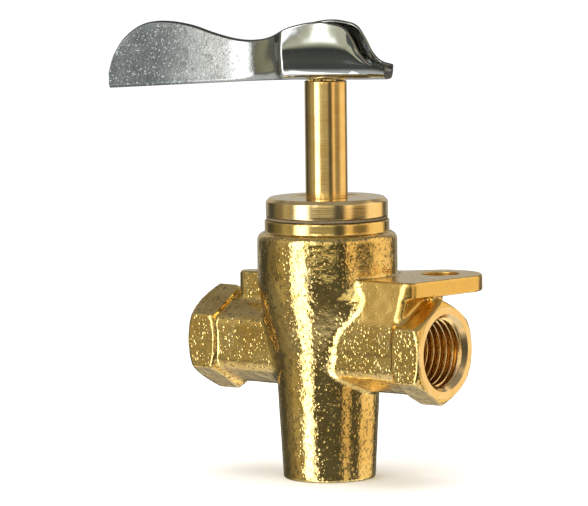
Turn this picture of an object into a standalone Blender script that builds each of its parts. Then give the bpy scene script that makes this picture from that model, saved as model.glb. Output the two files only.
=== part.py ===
"""Brass plug valve with an extended stem and a folded lever.

The frame: the origin is the centre of the barrel's flat bottom face, +Z runs up
the stem and +X runs along the ports, towards the lug's side.  Lengths are in
millimetres and are scaled to metres when a mesh is made.
"""

from math import asin, cos, pi, radians, sin, sqrt

import bmesh
import bpy
from mathutils import Matrix

MM = 0.001
GAP = 0.3            # between pieces that touch on the real valve
SEAL_GAP = 0.1       # on both sides of the flat gasket
ROUND = 48           # sides of the larger round pieces
SMALL_ROUND = 24     # sides of the pins, screws and small holes

# Barrel
PORT_HEIGHT = 25.3
BARREL_BOTTOM_RADIUS = 8.7
BOTTOM_CHAMFER = 0.4
BARREL_WAIST_RADIUS = 9.85
BARREL_TOP_RADIUS = 13.2
BARREL_WAIST_HEIGHT = 21.0
BARREL_FLARE_HEIGHT = 39.0
BARREL_HEIGHT = 46.7
FLARE_START = 0.12   # share of the smooth flare that the waist already has
RIM_RADIUS = 11.75
RIM_HEIGHT = 49.0

# Ports: 1/4-18 NPT sockets in 11/16 inch hexagons
HEX_ACROSS_FLATS = 17.46
HEX_LENGTH = 6.3
HEX_BACK_CHAMFER = (1.02, 1.17, 0.9)    # radii as shares of half the flats, and the chamfer's length
HEX_FRONT_CHAMFER = (1.00, 1.17, 1.1)
PORT_FACE_X = 26.9
NECK_RADIUS = 8.5
NECK_FLARE_RADIUS = 9.4
NECK_FLARE_END = 9.5
NECK_START = 14.0
SOCKET_MOUTH_RADIUS = 7.2
SOCKET_RADIUS = 6.1
SOCKET_END_RADIUS = 5.7
SOCKET_DEPTH = 11.0
SOCKET_COUNTERSINK = 1.1
SOCKET_DRILL_POINT = 1.6
FLOW_RADIUS = 3.3

# Lug with its gusset, and the rib on the other side of the barrel
LUG_TOP = 38.6
LUG_THICKNESS = 3.1
LUG_ANGLE = radians(31)
LUG_HOLE_DISTANCE = 21.3
LUG_HOLE_RADIUS = 3.5
LUG_END_RADIUS = 7.9
LUG_CORNER_RADIUS = 1.6
LUG_END_X = 24.0
LUG_HALF_WIDTH = 7.0
GUSSET_START_X = 6.0
GUSSET_FAR_Y = 6.0
GUSSET_INSET = 0.05
RIB_HALF_WIDTH = 2.4
RIB_REACH = 20.3
RIB_TOP = 38.4

# Tapered seat, plug and spring chamber
SEAT_BOTTOM = 7.0
SEAT_BOTTOM_RADIUS = 6.05
SEAT_TOP = 34.6
SEAT_TOP_RADIUS = 8.05
CAVITY_FLOOR = 4.0
CHAMBER_RADIUS = 9.2
PLUG_BOTTOM = 7.6
PLUG_TOP = 34.5
GROOVE_WIDTH = 2.0
GROOVE_DEPTH = 1.6
RING_WIRE_RADIUS = 0.6
UPPER_RING_HEIGHT = 29.9
LOWER_RING_HEIGHT = 12.0
SLOT_WIDTH = 3.4
SLOT_DEPTH = 3.2
PLUG_FLOW_HEIGHT = 24.9

# Stem
STEM_RADIUS = 3.97
STEM_SHOULDER = 75.1
STEM_TOP = 76.4
TANG_WIDTH = 2.8
TANG_LENGTH = 9.0
FOOT_BOTTOM = SEAT_TOP + GAP
FOOT_THICKNESS = 1.7
FOOT_RADIUS = 8.7
FOOT_NOTCH_RADIUS = 6.9
SQUARE_SIDE = 5.5
TAPPED_RADIUS = 1.8
TAPPED_BOTTOM = 69.2
TAPPED_POINT = 68.0
PIN_RADIUS = 0.9
PIN_HEIGHT = 33.1

# Turning: the lever's rest angle, and how far it swings to each side
LEVER_ANGLE = radians(22)
SWING_BACK = radians(22)
SWING_ON = radians(68)
STOP_PIN_RADIUS = 0.8
STOP_PIN_DISTANCE = 8.15
STOP_PIN_ANGLE = radians(180)
STOP_MARGIN = radians(2.0)
STOP_PIN_LENGTH = 1.1
STOP_PIN_LIFT = 0.15

# Bonnet cap and the spring below it
CAP_RADIUS = 11.5
CAP_TOP = 53.2
CAP_CHAMFER = 0.7
GASKET_THICKNESS = 0.5
SPIGOT_RADIUS = 8.85
SPIGOT_BOTTOM = 45.6
CAP_GROOVE_HEIGHTS = (47.5, 50.4)
SPRING_RADIUS = 6.5
SPRING_WIRE_RADIUS = 0.6
SPRING_TURNS = 3.5
WASHER_THICKNESS = 0.8
SPRING_WASHER_RADIUS = 8.5
STEM_GROOVE_DEPTH = 1.5
STEM_GROOVE_WIDTH = 1.8

# Lever: a folded channel, its outline measured from the stem's axis
LEVER_BOTTOM = 75.4
LEVER_SHEET = 0.95
LEVER_STATION_STEP = 1.15
PADDLE_HALF_WIDTH = 1.15
HUB_HALF_WIDTH = 5.5
TAIL_HALF_WIDTH = 3.6
FOLD_RADIUS = 1.6
LEVER_DROOP = 0.05
LEVER_DROOP_START = -5.5
PINCH_START = -21.0  # where the blade starts to open into the hub
PINCH_LENGTH = 15.5
TAIL_START = 6.0
TAIL_LENGTH = 7.2
PRESSED_END = -19.0  # where the pressed blade's filling starts to thin out
PRESSED_LENGTH = 8.0
PRESSED_LIP = 0.35
INNER_FOLD_RADIUS = 0.7
LEVER_TOP_EDGE = (
    (-42.2, 3.4), (-41.3, 6.2), (-39.0, 9.5), (-35.4, 11.8), (-31.5, 12.2), (-26.2, 11.2),
    (-21.5, 9.4), (-17.3, 8.1), (-14.0, 7.7), (-10.0, 8.2), (-5.3, 10.0), (-0.5, 10.9),
    (3.2, 10.5), (5.2, 9.6), (6.6, 7.5), (7.9, 5.0), (9.6, 3.3), (12.2, 2.6),
)

# Screw and washer on the lever
STACK_GAP = 0.15
LOCK_WASHER_THICKNESS = 0.75
LOCK_WASHER_INNER = 1.8
LOCK_WASHER_OUTER = 3.1
SCREW_TIP_HEIGHT = 69.8
SCREW_TIP_RADIUS = 1.2
SCREW_TIP_CHAMFER = 0.5
SCREW_RADIUS = 1.5
SCREW_HEAD_RADIUS = 2.9
SCREW_HEAD_SIDE = 1.0
SCREW_CROWN_RADIUS = 2.3
SCREW_CROWN_SIDE = 1.8
SCREW_HEAD_HEIGHT = 2.0
SCREW_SLOT_WIDTH = 0.9

BRASS = (0.78, 0.55, 0.20)
TURNED_BRASS = (0.86, 0.63, 0.27)
CHROME = (0.72, 0.73, 0.72)
STEEL = (0.55, 0.55, 0.56)
RUBBER = (0.03, 0.03, 0.035)
FIBRE = (0.62, 0.55, 0.40)


def clear_scene():
    """Remove whatever the file opened with."""
    for old in list(bpy.data.objects):
        bpy.data.objects.remove(old, do_unlink=True)


def material(name, colour, roughness, metallic):
    """A plain Principled material of one colour."""
    made = bpy.data.materials.new(name)
    made.use_nodes = True
    shader = made.node_tree.nodes["Principled BSDF"]
    shader.inputs["Base Color"].default_value = (*colour, 1.0)
    shader.inputs["Roughness"].default_value = roughness
    shader.inputs["Metallic"].default_value = metallic
    return made


def finished(shape, name, look=None):
    """Scale a bmesh from millimetres to metres and link it as an object."""
    bmesh.ops.recalc_face_normals(shape, faces=shape.faces)
    bmesh.ops.scale(shape, vec=(MM, MM, MM), verts=shape.verts)
    mesh = bpy.data.meshes.new(name)
    shape.to_mesh(mesh)
    shape.free()
    mesh.shade_smooth()
    mesh.set_sharp_from_angle(angle=radians(30))
    if look is not None:
        mesh.materials.append(look)
    piece = bpy.data.objects.new(name, mesh)
    bpy.context.scene.collection.objects.link(piece)
    return piece


def turned(name, profile, look=None, sides=ROUND, along=None):
    """Spin a closed profile of (radius, height) points about Z, or about X when along is "X"."""
    shape = bmesh.new()
    points = [shape.verts.new((radius, 0.0, height)) for radius, height in profile]
    edges = [shape.edges.new(pair) for pair in zip(points, points[1:])]
    if profile[0][0] > 0 or profile[-1][0] > 0:
        edges.append(shape.edges.new((points[-1], points[0])))
    bmesh.ops.spin(
        shape, geom=points + edges, cent=(0, 0, 0), axis=(0, 0, 1),
        angle=2 * pi, steps=sides, use_merge=True, use_normal_flip=False,
    )
    bmesh.ops.remove_doubles(shape, verts=shape.verts, dist=1e-4)
    if along == "X":
        bmesh.ops.transform(shape, matrix=Matrix.Rotation(pi / 2, 4, "Y"), verts=shape.verts)
    return finished(shape, name, look)


def extruded(name, outline, low, high, look=None):
    """Raise a plan outline from one height to another."""
    shape = bmesh.new()
    face = shape.faces.new([shape.verts.new((x, y, low)) for x, y in outline])
    grown = bmesh.ops.extrude_face_region(shape, geom=[face])
    lifted = [item for item in grown["geom"] if isinstance(item, bmesh.types.BMVert)]
    bmesh.ops.translate(shape, vec=(0, 0, high - low), verts=lifted)
    return finished(shape, name, look)


def block(name, low, high, look=None):
    """A box between two corners."""
    outline = ((low[0], low[1]), (high[0], low[1]), (high[0], high[1]), (low[0], high[1]))
    return extruded(name, outline, low[2], high[2], look)


def ring(name, radius, wire_radius, height, look, sides=36, wire_sides=8):
    """A torus about the stem's axis."""
    angles = [2 * pi * k / wire_sides for k in range(wire_sides)]
    profile = [(radius + wire_radius * cos(a), height + wire_radius * sin(a)) for a in angles]
    return turned(name, profile, look, sides)


def washer(name, inner, outer, low, thickness, look):
    """A flat ring about the stem's axis."""
    profile = [(inner, low), (outer, low), (outer, low + thickness), (inner, low + thickness)]
    return turned(name, profile, look, 36)


def arc(centre, radius, start, end, steps):
    """Points on an arc, both ends included."""
    angles = [start + (end - start) * k / steps for k in range(steps + 1)]
    return [(centre[0] + radius * cos(a), centre[1] + radius * sin(a)) for a in angles]


def tool(piece):
    """Mark a piece as a guide for a Boolean."""
    piece.hide_render = True
    piece.display_type = "WIRE"
    return piece


def combine(piece, operation, others):
    """Add a Boolean modifier for each of the other shapes."""
    for other in others:
        step = piece.modifiers.new(other.name, "BOOLEAN")
        step.operation = operation
        step.solver = "EXACT"
        step.object = tool(other)


def turn_about_stem(piece, angle):
    """Turn a piece in plan about the stem's axis."""
    piece.rotation_euler = (0.0, 0.0, angle)


def seat_radius(height):
    """Radius of the body's tapered seat at a height."""
    share = (height - SEAT_BOTTOM) / (SEAT_TOP - SEAT_BOTTOM)
    return SEAT_BOTTOM_RADIUS + share * (SEAT_TOP_RADIUS - SEAT_BOTTOM_RADIUS)


def smooth(share):
    """A smooth step from 0 to 1."""
    share = min(max(share, 0.0), 1.0)
    return share * share * (3.0 - 2.0 * share)


def hexagon_profile(half_flats):
    """Corners of a hexagon with two flats facing sideways and two corners up and down."""
    reach = 2.0 * half_flats / sqrt(3.0)
    return [(reach * cos(pi * k / 3), reach * sin(pi * k / 3)) for k in range(6)]


def barrel():
    """The outside of the barrel, a lower cone, a flare and a round shoulder under the rim."""
    profile = [(0.0, 0.0), (BARREL_BOTTOM_RADIUS - BOTTOM_CHAMFER, 0.0)]
    profile += [(BARREL_BOTTOM_RADIUS, BOTTOM_CHAMFER), (BARREL_WAIST_RADIUS, BARREL_WAIST_HEIGHT)]
    steps = 8
    rise = BARREL_FLARE_HEIGHT - BARREL_WAIST_HEIGHT
    first = smooth(FLARE_START)
    for k in range(1, steps + 1):
        grown = smooth(FLARE_START + (1 - FLARE_START) * k / steps)
        share = (grown - first) / (1 - first)
        radius = BARREL_WAIST_RADIUS + (BARREL_TOP_RADIUS - BARREL_WAIST_RADIUS) * share
        profile.append((radius, BARREL_WAIST_HEIGHT + rise * k / steps))
    shoulder = BARREL_TOP_RADIUS - RIM_RADIUS
    for k in range(5):
        a = radians(90) * k / 4
        profile.append((RIM_RADIUS + shoulder * cos(a), BARREL_HEIGHT - shoulder * (1 - sin(a))))
    profile += [(RIM_RADIUS, RIM_HEIGHT), (0.0, RIM_HEIGHT)]
    return turned("valve_body", profile, material("forged_brass", BRASS, 0.35, 1.0))


def port(side):
    """A neck with its hexagon, on one side of the barrel."""
    half = HEX_ACROSS_FLATS / 2
    hexagon_start = PORT_FACE_X - HEX_LENGTH
    neck = turned(
        f"neck_{side:+d}",
        [(0.0, 0.0), (NECK_FLARE_RADIUS, 0.0), (NECK_FLARE_RADIUS, NECK_FLARE_END),
         (NECK_RADIUS, NECK_START), (NECK_RADIUS, hexagon_start + 1.0), (0.0, hexagon_start + 1.0)],
        along="X",
    )
    hexagon = extruded(f"hexagon_{side:+d}", hexagon_profile(half), hexagon_start, PORT_FACE_X)
    back, back_full, back_length = HEX_BACK_CHAMFER
    front, front_full, front_length = HEX_FRONT_CHAMFER
    envelope = turned(
        f"hexagon_chamfer_{side:+d}",
        [(0.0, hexagon_start - 1), (half * back, hexagon_start - 1), (half * back, hexagon_start),
         (half * back_full, hexagon_start + back_length), (half * front_full, PORT_FACE_X - front_length),
         (half * front, PORT_FACE_X), (0.0, PORT_FACE_X)],
    )
    combine(hexagon, "INTERSECT", [envelope])
    for piece in (hexagon, envelope):
        piece.rotation_euler = (0.0, pi / 2, 0.0)
    for piece in (neck, hexagon, envelope):
        piece.location = (0.0, 0.0, PORT_HEIGHT * MM)
        if side < 0:
            piece.rotation_euler = (0.0, piece.rotation_euler[1], pi)
    return [neck, hexagon]


def socket(side):
    """The hollow of one port: mouth, tapered socket, drill point and flow hole."""
    face = PORT_FACE_X
    end = face - SOCKET_DEPTH
    hollow = turned(
        f"socket_{side:+d}",
        [(0.0, 0.0), (FLOW_RADIUS, 0.0), (FLOW_RADIUS, end - SOCKET_DRILL_POINT),
         (SOCKET_END_RADIUS, end), (SOCKET_RADIUS, face - SOCKET_COUNTERSINK),
         (SOCKET_MOUTH_RADIUS, face), (SOCKET_MOUTH_RADIUS, face + 1.0), (0.0, face + 1.0)],
        sides=36, along="X",
    )
    hollow.location = (0.0, 0.0, PORT_HEIGHT * MM)
    if side < 0:
        hollow.rotation_euler = (0.0, 0.0, pi)
    return hollow


def lug_plate():
    """The drilled lug: round about its hole, with a straight side over the port's neck."""
    hole = (LUG_HOLE_DISTANCE * cos(LUG_ANGLE), LUG_HOLE_DISTANCE * sin(LUG_ANGLE))
    corner = (LUG_END_X - LUG_CORNER_RADIUS, LUG_CORNER_RADIUS - LUG_HALF_WIDTH)
    outline = [(0.0, -LUG_HALF_WIDTH)]
    outline += arc(corner, LUG_CORNER_RADIUS, radians(-90), radians(-8), 5)
    outline += arc(hole, LUG_END_RADIUS, radians(-8), radians(150), 18)
    outline.append((0.0, LUG_HALF_WIDTH))
    plate = extruded("lug", outline, LUG_TOP - LUG_THICKNESS, LUG_TOP)
    below, above = LUG_TOP - LUG_THICKNESS - 2, LUG_TOP + 1
    drill = turned(
        "lug_drill",
        [(0.0, below), (LUG_HOLE_RADIUS, below), (LUG_HOLE_RADIUS, above), (0.0, above)],
        sides=SMALL_ROUND,
    )
    drill.location = (hole[0] * MM, hole[1] * MM, 0.0)
    return plate, drill


def gusset():
    """The block between the lug and the neck below it, flush with the lug's straight side."""
    low = (GUSSET_START_X, GUSSET_INSET - LUG_HALF_WIDTH, PORT_HEIGHT)
    high = (PORT_FACE_X - HEX_LENGTH + 0.8, GUSSET_FAR_Y, LUG_TOP - LUG_THICKNESS + 0.5)
    return block("gusset", low, high)


def rib():
    """The rib on top of the other neck, as high as the lug, with a round end."""
    end = (RIB_HALF_WIDTH - RIB_REACH, 0.0)
    outline = [(0.0, RIB_HALF_WIDTH)] + arc(end, RIB_HALF_WIDTH, radians(90), radians(270), 10)
    outline.append((0.0, -RIB_HALF_WIDTH))
    return extruded("rib", outline, PORT_HEIGHT, RIB_TOP)


def cavity():
    """The hollow inside the barrel: floor, tapered seat, spring chamber."""
    profile = [
        (0.0, CAVITY_FLOOR), (SEAT_BOTTOM_RADIUS - 0.5, CAVITY_FLOOR), (SEAT_BOTTOM_RADIUS, SEAT_BOTTOM),
        (SEAT_TOP_RADIUS, SEAT_TOP), (CHAMBER_RADIUS, SEAT_TOP), (CHAMBER_RADIUS, RIM_HEIGHT + 1),
        (0.0, RIM_HEIGHT + 1),
    ]
    return turned("cavity", profile)


def valve_body():
    """The forging: barrel, two hexagon ports, lug with gusset, rib, and what is bored into them."""
    body = barrel()
    plate, drill = lug_plate()
    combine(body, "UNION", port(1) + port(-1) + [gusset(), plate, rib()])
    combine(body, "DIFFERENCE", [cavity(), socket(1), socket(-1), drill])
    return body


def taper_plug():
    """The tapered plug with its flow hole, two ring grooves, a slot and a pin hole."""
    def wall(height, depth=0.0):
        return (seat_radius(height) - GAP - depth, height)

    profile = [(0.0, PLUG_BOTTOM), wall(PLUG_BOTTOM)]
    for height in (LOWER_RING_HEIGHT, UPPER_RING_HEIGHT):
        low, high = height - GROOVE_WIDTH / 2, height + GROOVE_WIDTH / 2
        profile += [wall(low), wall(low, GROOVE_DEPTH), wall(high, GROOVE_DEPTH), wall(high)]
    profile += [wall(PLUG_TOP), (0.0, PLUG_TOP)]
    plug = turned("taper_plug", profile, material("turned_brass_plug", TURNED_BRASS, 0.25, 1.0))
    through = [(0, -12), (FLOW_RADIUS, -12), (FLOW_RADIUS, 12), (0, 12)]
    flow = turned("plug_flow", through, sides=SMALL_ROUND, along="X")
    flow.location = (0.0, 0.0, PLUG_FLOW_HEIGHT * MM)
    flow.rotation_euler = (0.0, 0.0, LEVER_ANGLE)
    half = SLOT_WIDTH / 2
    slot = block("plug_slot", (-12, -half, PLUG_TOP - SLOT_DEPTH), (12, half, PLUG_TOP + 1))
    turn_about_stem(slot, LEVER_ANGLE)
    combine(plug, "DIFFERENCE", [flow, slot, pin_hole("plug_pin_hole")])
    return plug


def pin_hole(name):
    """A hole across the slot for the cross pin, with a gap round the pin."""
    reach = PIN_RADIUS + GAP
    hole = turned(name, [(0, -12), (reach, -12), (reach, 12), (0, 12)], sides=SMALL_ROUND, along="X")
    hole.location = (0.0, 0.0, PIN_HEIGHT * MM)
    hole.rotation_euler = (0.0, 0.0, LEVER_ANGLE + pi / 2)
    return hole


def stem_cross_pin():
    """The pin that ties the stem's tang to the plug."""
    half = seat_radius(PIN_HEIGHT) - GAP - 0.6
    pin = turned(
        "stem_cross_pin", [(0, -half), (PIN_RADIUS, -half), (PIN_RADIUS, half), (0, half)],
        material("pin_steel", STEEL, 0.3, 1.0), SMALL_ROUND // 2, along="X",
    )
    pin.location = (0.0, 0.0, PIN_HEIGHT * MM)
    pin.rotation_euler = (0.0, 0.0, LEVER_ANGLE + pi / 2)
    return pin


def drive_stem():
    """The stem: tang, notched foot, long shaft, squared head with a tapped hole."""
    foot_top = FOOT_BOTTOM + FOOT_THICKNESS
    profile = [(0.0, FOOT_BOTTOM), (FOOT_RADIUS, FOOT_BOTTOM), (FOOT_RADIUS, foot_top)]
    profile += [(STEM_RADIUS, foot_top), (STEM_RADIUS, STEM_SHOULDER), (0.0, STEM_SHOULDER)]
    stem = turned("drive_stem", profile, material("turned_brass_stem", TURNED_BRASS, 0.2, 1.0))
    tang = block(
        "stem_tang", (-TANG_LENGTH / 2, -TANG_WIDTH / 2, PLUG_TOP - SLOT_DEPTH + GAP),
        (TANG_LENGTH / 2, TANG_WIDTH / 2, FOOT_BOTTOM + 0.5),
    )
    half = SQUARE_SIDE / 2
    square = block("stem_square", (-half, -half, STEM_SHOULDER - 0.5), (half, half, STEM_TOP))
    for piece in (tang, square):
        turn_about_stem(piece, LEVER_ANGLE)
    drilled = [(0, TAPPED_POINT), (TAPPED_RADIUS, TAPPED_BOTTOM)]
    drilled += [(TAPPED_RADIUS, STEM_TOP + 1), (0, STEM_TOP + 1)]
    tapped = turned("stem_tapped_hole", drilled, sides=SMALL_ROUND)
    combine(stem, "UNION", [tang, square])
    combine(stem, "DIFFERENCE", [foot_notch(), tapped, pin_hole("tang_pin_hole")])
    return stem


def foot_notch():
    """The notch in the foot's edge that lets the stop pin pass through the quarter turn."""
    pin_half = asin(STOP_PIN_RADIUS / STOP_PIN_DISTANCE) + STOP_MARGIN
    start = STOP_PIN_ANGLE - SWING_ON - pin_half
    end = STOP_PIN_ANGLE + SWING_BACK + pin_half
    outline = arc((0, 0), FOOT_NOTCH_RADIUS, start, end, 16)
    outline += arc((0, 0), FOOT_RADIUS + 1.5, end, start, 16)
    return extruded("foot_notch", outline, FOOT_BOTTOM - 0.8, FOOT_BOTTOM + FOOT_THICKNESS + 0.8)


def stop_pin():
    """The fixed pin beside the foot that ends the stem's quarter turn."""
    low = SEAT_TOP + STOP_PIN_LIFT
    high = low + STOP_PIN_LENGTH
    pin = turned(
        "stop_pin", [(0, low), (STOP_PIN_RADIUS, low), (STOP_PIN_RADIUS, high), (0, high)],
        material("stop_pin_steel", STEEL, 0.3, 1.0), 12,
    )
    distance = STOP_PIN_DISTANCE * MM
    pin.location = (distance * cos(STOP_PIN_ANGLE), distance * sin(STOP_PIN_ANGLE), 0.0)
    return pin


def bonnet_cap():
    """The turned cap: flange with a chamfered edge, spigot, stem hole and two ring grooves."""
    bore = STEM_RADIUS + GAP
    groove = bore + STEM_GROOVE_DEPTH
    flange_bottom = RIM_HEIGHT + 2 * SEAL_GAP + GASKET_THICKNESS
    profile = [(bore, SPIGOT_BOTTOM), (SPIGOT_RADIUS, SPIGOT_BOTTOM), (SPIGOT_RADIUS, flange_bottom)]
    profile += [(CAP_RADIUS, flange_bottom), (CAP_RADIUS, CAP_TOP - CAP_CHAMFER)]
    profile += [(CAP_RADIUS - CAP_CHAMFER, CAP_TOP), (bore + 0.4, CAP_TOP), (bore, CAP_TOP - 0.4)]
    for height in reversed(CAP_GROOVE_HEIGHTS):
        low, high = height - STEM_GROOVE_WIDTH / 2, height + STEM_GROOVE_WIDTH / 2
        profile += [(bore, high), (groove, high), (groove, low), (bore, low)]
    return turned("bonnet_cap", profile, material("turned_brass_cap", TURNED_BRASS, 0.2, 1.0))


def load_spring():
    """The coil spring that presses the plug into its seat."""
    low = FOOT_BOTTOM + FOOT_THICKNESS + WASHER_THICKNESS + 2 * GAP + SPRING_WIRE_RADIUS
    high = SPIGOT_BOTTOM - WASHER_THICKNESS - 2 * GAP - SPRING_WIRE_RADIUS
    count = round(SPRING_TURNS * 24)
    curve = bpy.data.curves.new("load_spring", "CURVE")
    curve.dimensions = "3D"
    spline = curve.splines.new("POLY")
    spline.points.add(count)
    for k, point in enumerate(spline.points):
        turn = 2 * pi * SPRING_TURNS * k / count
        height = low + (high - low) * k / count
        point.co = (SPRING_RADIUS * cos(turn) * MM, SPRING_RADIUS * sin(turn) * MM, height * MM, 1.0)
    curve.bevel_depth = SPRING_WIRE_RADIUS * MM
    curve.bevel_resolution = 2
    curve.use_fill_caps = True
    curve.materials.append(material("spring_steel", STEEL, 0.3, 1.0))
    spring = bpy.data.objects.new("load_spring", curve)
    bpy.context.scene.collection.objects.link(spring)
    return spring


def outline_height(place):
    """Height of the lever's top edge above its fold, smooth through the outline's points."""
    points = LEVER_TOP_EDGE
    place = min(max(place, points[0][0]), points[-1][0])
    at = max(k for k in range(len(points) - 1) if points[k][0] <= place)
    (x0, y0), (x1, y1) = points[at], points[at + 1]
    before = points[max(at - 1, 0)]
    after = points[min(at + 2, len(points) - 1)]
    width = x1 - x0
    slope0 = (y1 - before[1]) / (x1 - before[0]) * width
    slope1 = (after[1] - y0) / (after[0] - x0) * width
    t = (place - x0) / width
    return (
        (2 * t**3 - 3 * t**2 + 1) * y0 + (t**3 - 2 * t**2 + t) * slope0
        + (3 * t**2 - 2 * t**3) * y1 + (t**3 - t**2) * slope1
    )


def lever_half_width(place):
    """Half of the channel's outer width: a pressed blade, an open hub and a narrowing tail."""
    opening = smooth((place - PINCH_START) / PINCH_LENGTH)
    wide = PADDLE_HALF_WIDTH + (HUB_HALF_WIDTH - PADDLE_HALF_WIDTH) * opening
    return wide - (HUB_HALF_WIDTH - TAIL_HALF_WIDTH) * smooth((place - TAIL_START) / TAIL_LENGTH) ** 2


def lever_section(place):
    """The channel's outline across the lever, as (across, height) points."""
    half = lever_half_width(place)
    top = outline_height(place)
    fold = min(FOLD_RADIUS, half * 0.9)
    inner = half - LEVER_SHEET
    pressed = 1.0 - smooth((place - PRESSED_END) / PRESSED_LENGTH)
    floor = LEVER_SHEET + (top - PRESSED_LIP - LEVER_SHEET) * pressed
    inner_fold = min(INNER_FOLD_RADIUS, inner * 0.8, (top - floor) * 0.8)
    right = [(half, top)] + arc((half - fold, fold), fold, 0.0, -pi / 2, 4)
    inside = [(inner, top)] + arc((inner - inner_fold, floor + inner_fold), inner_fold, 0.0, -pi / 2, 2)
    left = [(-x, y) for x, y in reversed(right)]
    inside_left = [(-x, y) for x, y in reversed(inside)]
    return right + left + list(reversed(inside_left)) + list(reversed(inside))


def lever_base(place):
    """Height of the lever's fold: level under the hub, and drooping along the paddle."""
    return LEVER_BOTTOM - LEVER_DROOP * max(LEVER_DROOP_START - place, 0.0)


def lever():
    """The lever, lofted through its sections and pierced for the stem's square."""
    shape = bmesh.new()
    start, end = LEVER_TOP_EDGE[0][0], LEVER_TOP_EDGE[-1][0]
    count = round((end - start) / LEVER_STATION_STEP)
    loops = []
    for k in range(count + 1):
        place = start + (end - start) * k / count
        base = lever_base(place)
        loops.append([shape.verts.new((place, a, base + h)) for a, h in lever_section(place)])
    for one, other in zip(loops, loops[1:]):
        for k in range(len(one)):
            after = (k + 1) % len(one)
            shape.faces.new((one[k], one[after], other[after], other[k]))
    shape.faces.new(loops[0])
    shape.faces.new(reversed(loops[-1]))
    made = finished(shape, "lever", material("plated_sheet", CHROME, 0.18, 1.0))
    half = SQUARE_SIDE / 2 + GAP
    hole = block("lever_square_hole", (-half, -half, LEVER_BOTTOM - 1), (half, half, LEVER_BOTTOM + 2))
    combine(made, "DIFFERENCE", [hole])
    for piece in (made, hole):
        turn_about_stem(piece, LEVER_ANGLE)
    return made


def lever_screw():
    """The pan-head screw that holds the lever on the stem, with a cross slot."""
    seat = LEVER_BOTTOM + LEVER_SHEET + LOCK_WASHER_THICKNESS + 2 * STACK_GAP
    profile = [(0, SCREW_TIP_HEIGHT), (SCREW_TIP_RADIUS, SCREW_TIP_HEIGHT)]
    profile += [(SCREW_RADIUS, SCREW_TIP_HEIGHT + SCREW_TIP_CHAMFER), (SCREW_RADIUS, seat)]
    profile += [(SCREW_HEAD_RADIUS, seat), (SCREW_HEAD_RADIUS, seat + SCREW_HEAD_SIDE)]
    profile += [(SCREW_CROWN_RADIUS, seat + SCREW_CROWN_SIDE), (0, seat + SCREW_HEAD_HEIGHT)]
    screw = turned("lever_screw", profile, material("screw_steel", STEEL, 0.3, 1.0), SMALL_ROUND)
    half = SCREW_SLOT_WIDTH / 2
    slot = block("screw_slot", (-4, -half, seat + SCREW_HEAD_SIDE), (4, half, seat + 3))
    combine(screw, "DIFFERENCE", [slot])
    return screw


def main():
    """Build every piece of the valve."""
    clear_scene()
    rubber = material("seal_rubber", RUBBER, 0.6, 0.0)
    steel = material("washer_steel", STEEL, 0.3, 1.0)
    fibre = material("gasket_fibre", FIBRE, 0.8, 0.0)
    foot_top = FOOT_BOTTOM + FOOT_THICKNESS
    valve_body()
    taper_plug()
    plug_rings = (("plug_o_ring_lower", LOWER_RING_HEIGHT), ("plug_o_ring_upper", UPPER_RING_HEIGHT))
    for name, height in plug_rings:
        outer = seat_radius(height) - 2 * GAP + 0.2
        ring(name, outer - RING_WIRE_RADIUS, RING_WIRE_RADIUS, height, rubber)
    drive_stem()
    stem_cross_pin()
    stop_pin()
    inner, outer = STEM_RADIUS + GAP, SPRING_WASHER_RADIUS
    washer("spring_seat_washer", inner, outer, foot_top + GAP, WASHER_THICKNESS, steel)
    load_spring()
    thrust_low = SPIGOT_BOTTOM - GAP - WASHER_THICKNESS
    washer("spring_thrust_washer", inner, outer, thrust_low, WASHER_THICKNESS, steel)
    bonnet_cap()
    inner, outer = SPIGOT_RADIUS + GAP, RIM_RADIUS - GAP
    washer("cap_gasket", inner, outer, RIM_HEIGHT + SEAL_GAP, GASKET_THICKNESS, fibre)
    for name, height in zip(("stem_o_ring_lower", "stem_o_ring_upper"), CAP_GROOVE_HEIGHTS):
        ring(name, STEM_RADIUS + 1.5 * GAP + RING_WIRE_RADIUS, RING_WIRE_RADIUS, height, rubber)
    lever()
    inner, outer = LOCK_WASHER_INNER, LOCK_WASHER_OUTER
    low = LEVER_BOTTOM + LEVER_SHEET + STACK_GAP
    washer("lever_lock_washer", inner, outer, low, LOCK_WASHER_THICKNESS, steel)
    lever_screw()


main()
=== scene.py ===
"""A brass plug valve with a folded plated lever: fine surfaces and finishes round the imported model.

Shapes are worked out in millimetres and put into meshes in metres.  The frame is the
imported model's: +Z up the stem, +X along the ports, the origin under the barrel.
"""

import math

import bpy
import numpy as np
from mathutils import Matrix, Vector


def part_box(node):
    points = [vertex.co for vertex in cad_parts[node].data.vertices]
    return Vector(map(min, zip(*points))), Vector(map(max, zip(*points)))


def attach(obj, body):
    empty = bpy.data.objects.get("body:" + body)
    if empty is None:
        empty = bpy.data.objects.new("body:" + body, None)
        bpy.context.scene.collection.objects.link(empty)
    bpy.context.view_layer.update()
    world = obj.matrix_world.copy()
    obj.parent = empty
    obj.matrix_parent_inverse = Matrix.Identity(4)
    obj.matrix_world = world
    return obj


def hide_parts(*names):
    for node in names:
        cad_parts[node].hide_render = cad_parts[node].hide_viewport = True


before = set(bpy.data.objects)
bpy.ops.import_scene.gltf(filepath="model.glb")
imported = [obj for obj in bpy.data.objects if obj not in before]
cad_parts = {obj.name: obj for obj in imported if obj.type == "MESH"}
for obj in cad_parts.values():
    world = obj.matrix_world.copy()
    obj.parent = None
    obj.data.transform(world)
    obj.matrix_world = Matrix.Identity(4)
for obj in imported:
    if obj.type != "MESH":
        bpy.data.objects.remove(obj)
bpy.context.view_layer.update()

MM = 0.001
TAU = 2.0 * math.pi

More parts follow.
